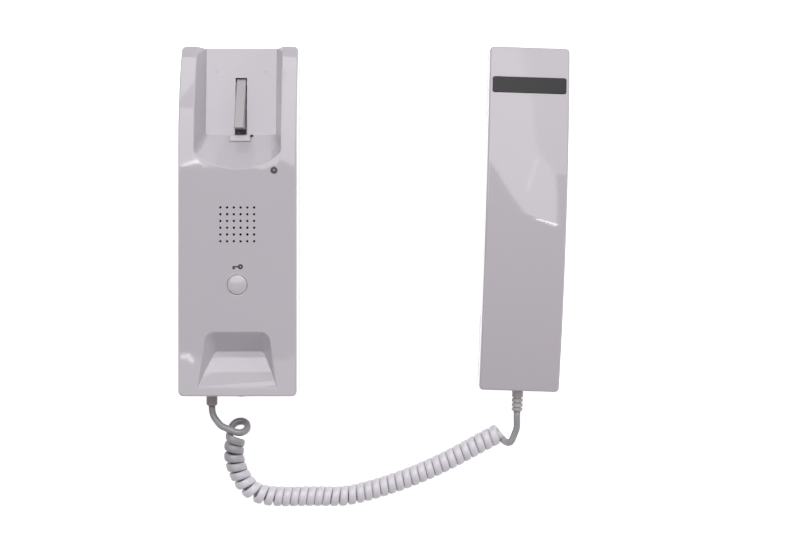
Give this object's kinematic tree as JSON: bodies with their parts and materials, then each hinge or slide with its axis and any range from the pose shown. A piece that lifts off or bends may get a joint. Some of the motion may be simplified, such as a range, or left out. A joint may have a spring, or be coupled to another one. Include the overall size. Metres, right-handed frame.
{
  "type": "intercom handset unit",
  "caption": "Audio door intercom: wall base with cradle trough, hook lever, speaker grille and door button, with a handset on a curly cord.",
  "frame": {"origin": "centre of the base's flat wall face, in the plane of the wall, or of the table on which it lies", "axes": "+Z out of the wall, towards the user; +Y towards the base's top end; +X to the base's right, towards the handset"},
  "size_m": [0.2389, 0.2858, 0.034],
  "materials": {
    "cover_plastic": "glossy moulded ABS, pale grey",
    "plate_plastic": "satin moulded ABS, pale grey",
    "lever_plastic": "glossy moulded ABS, pale grey",
    "handset_plastic": "glossy moulded ABS, pale grey",
    "plate_label": "glossy dark plate, bare",
    "relief_rubber": "soft grey moulded relief",
    "boot_rubber": "soft grey moulded boot",
    "cord_jacket": "smooth grey jacket",
    "board": "solder mask over glass-fibre laminate",
    "steel_screw": "zinc-plated steel",
    "steel_part": "steel, dark plated",
    "component_black": "moulded black plastic",
    "terminal_green": "moulded green plastic",
    "speaker_basket": "pressed steel basket",
    "cone_paper": "pressed paper cone",
    "magnet": "ferrite magnet",
    "gasket_foam": "soft foam ring",
    "lamp_lens": "smoky grey moulded lens",
    "bezel_black": "dark moulded ring"
  },
  "bodies": {
    "base": {"rear_plate": "plate_plastic", "front_cover": "cover_plastic", "cover_screw": "steel_screw", "circuit_board": "board", "board_screws": "steel_screw", "capacitors": "component_black", "terminal_block": "terminal_green", "terminal_screws": "steel_screw", "cord_header": "component_black", "speaker_frame": "speaker_basket", "speaker_cone": "cone_paper", "speaker_magnet": "magnet", "indicator_lamp": "lamp_lens", "indicator_bezel": "bezel_black", "hook_switch_body": "component_black", "hook_pivot_pin": "steel_screw", "button_switch_body": "component_black", "base_gland": "relief_rubber", "cord_lead_base": "cord_jacket", "curly_cord": "cord_jacket", "cord_lead_handset": "cord_jacket"},
    "handset": {"handset_outer_shell": "handset_plastic", "handset_inner_shell": "handset_plastic", "name_plate": "plate_label", "receiver_capsule": "component_black", "receiver_gasket": "gasket_foam", "microphone": "steel_part", "microphone_boot": "gasket_foam", "handset_weight": "steel_part", "handset_screws": "steel_screw", "handset_boot": "boot_rubber"},
    "hook_lever": {"hook_lever": "lever_plastic"},
    "hook_plunger": {"hook_switch_plunger": "component_black"},
    "door_button": {"door_button": "lever_plastic"},
    "button_plunger": {"button_switch_plunger": "component_black"}
  },
  "joints": [
    {"name": "handset_lift", "type": "slide", "parent": "base", "child": "handset", "axis": [0, 0, 1], "range_m": [0, 0.08]},
    {"name": "hook_lever_swing", "type": "hinge", "parent": "base", "child": "hook_lever", "pos_m": [0, 0.0854, 0.0043], "axis": [1, 0, 0], "range_deg": [0, 12], "stiffness_Nm_per_rad": 0.05, "springref_deg": -14.32},
    {"name": "hook_plunger_slide", "type": "slide", "parent": "base", "child": "hook_plunger", "axis": [0, 0, -1], "range_m": [0, 0.0032]},
    {"name": "door_button_press", "type": "slide", "parent": "base", "child": "door_button", "axis": [0, 0, -1], "range_m": [0, 0.0015], "stiffness_N_per_m": 300, "springref_m": -0.0015},
    {"name": "button_plunger_slide", "type": "slide", "parent": "base", "child": "button_plunger", "axis": [0, 0, -1], "range_m": [0, 0.0015]}
  ],
  "couplings": [
    {"joint": "hook_plunger_slide", "follows": "hook_lever_swing", "m_per_rad": 0.0151},
    {"joint": "button_plunger_slide", "follows": "door_button_press", "ratio": 1}
  ]
}
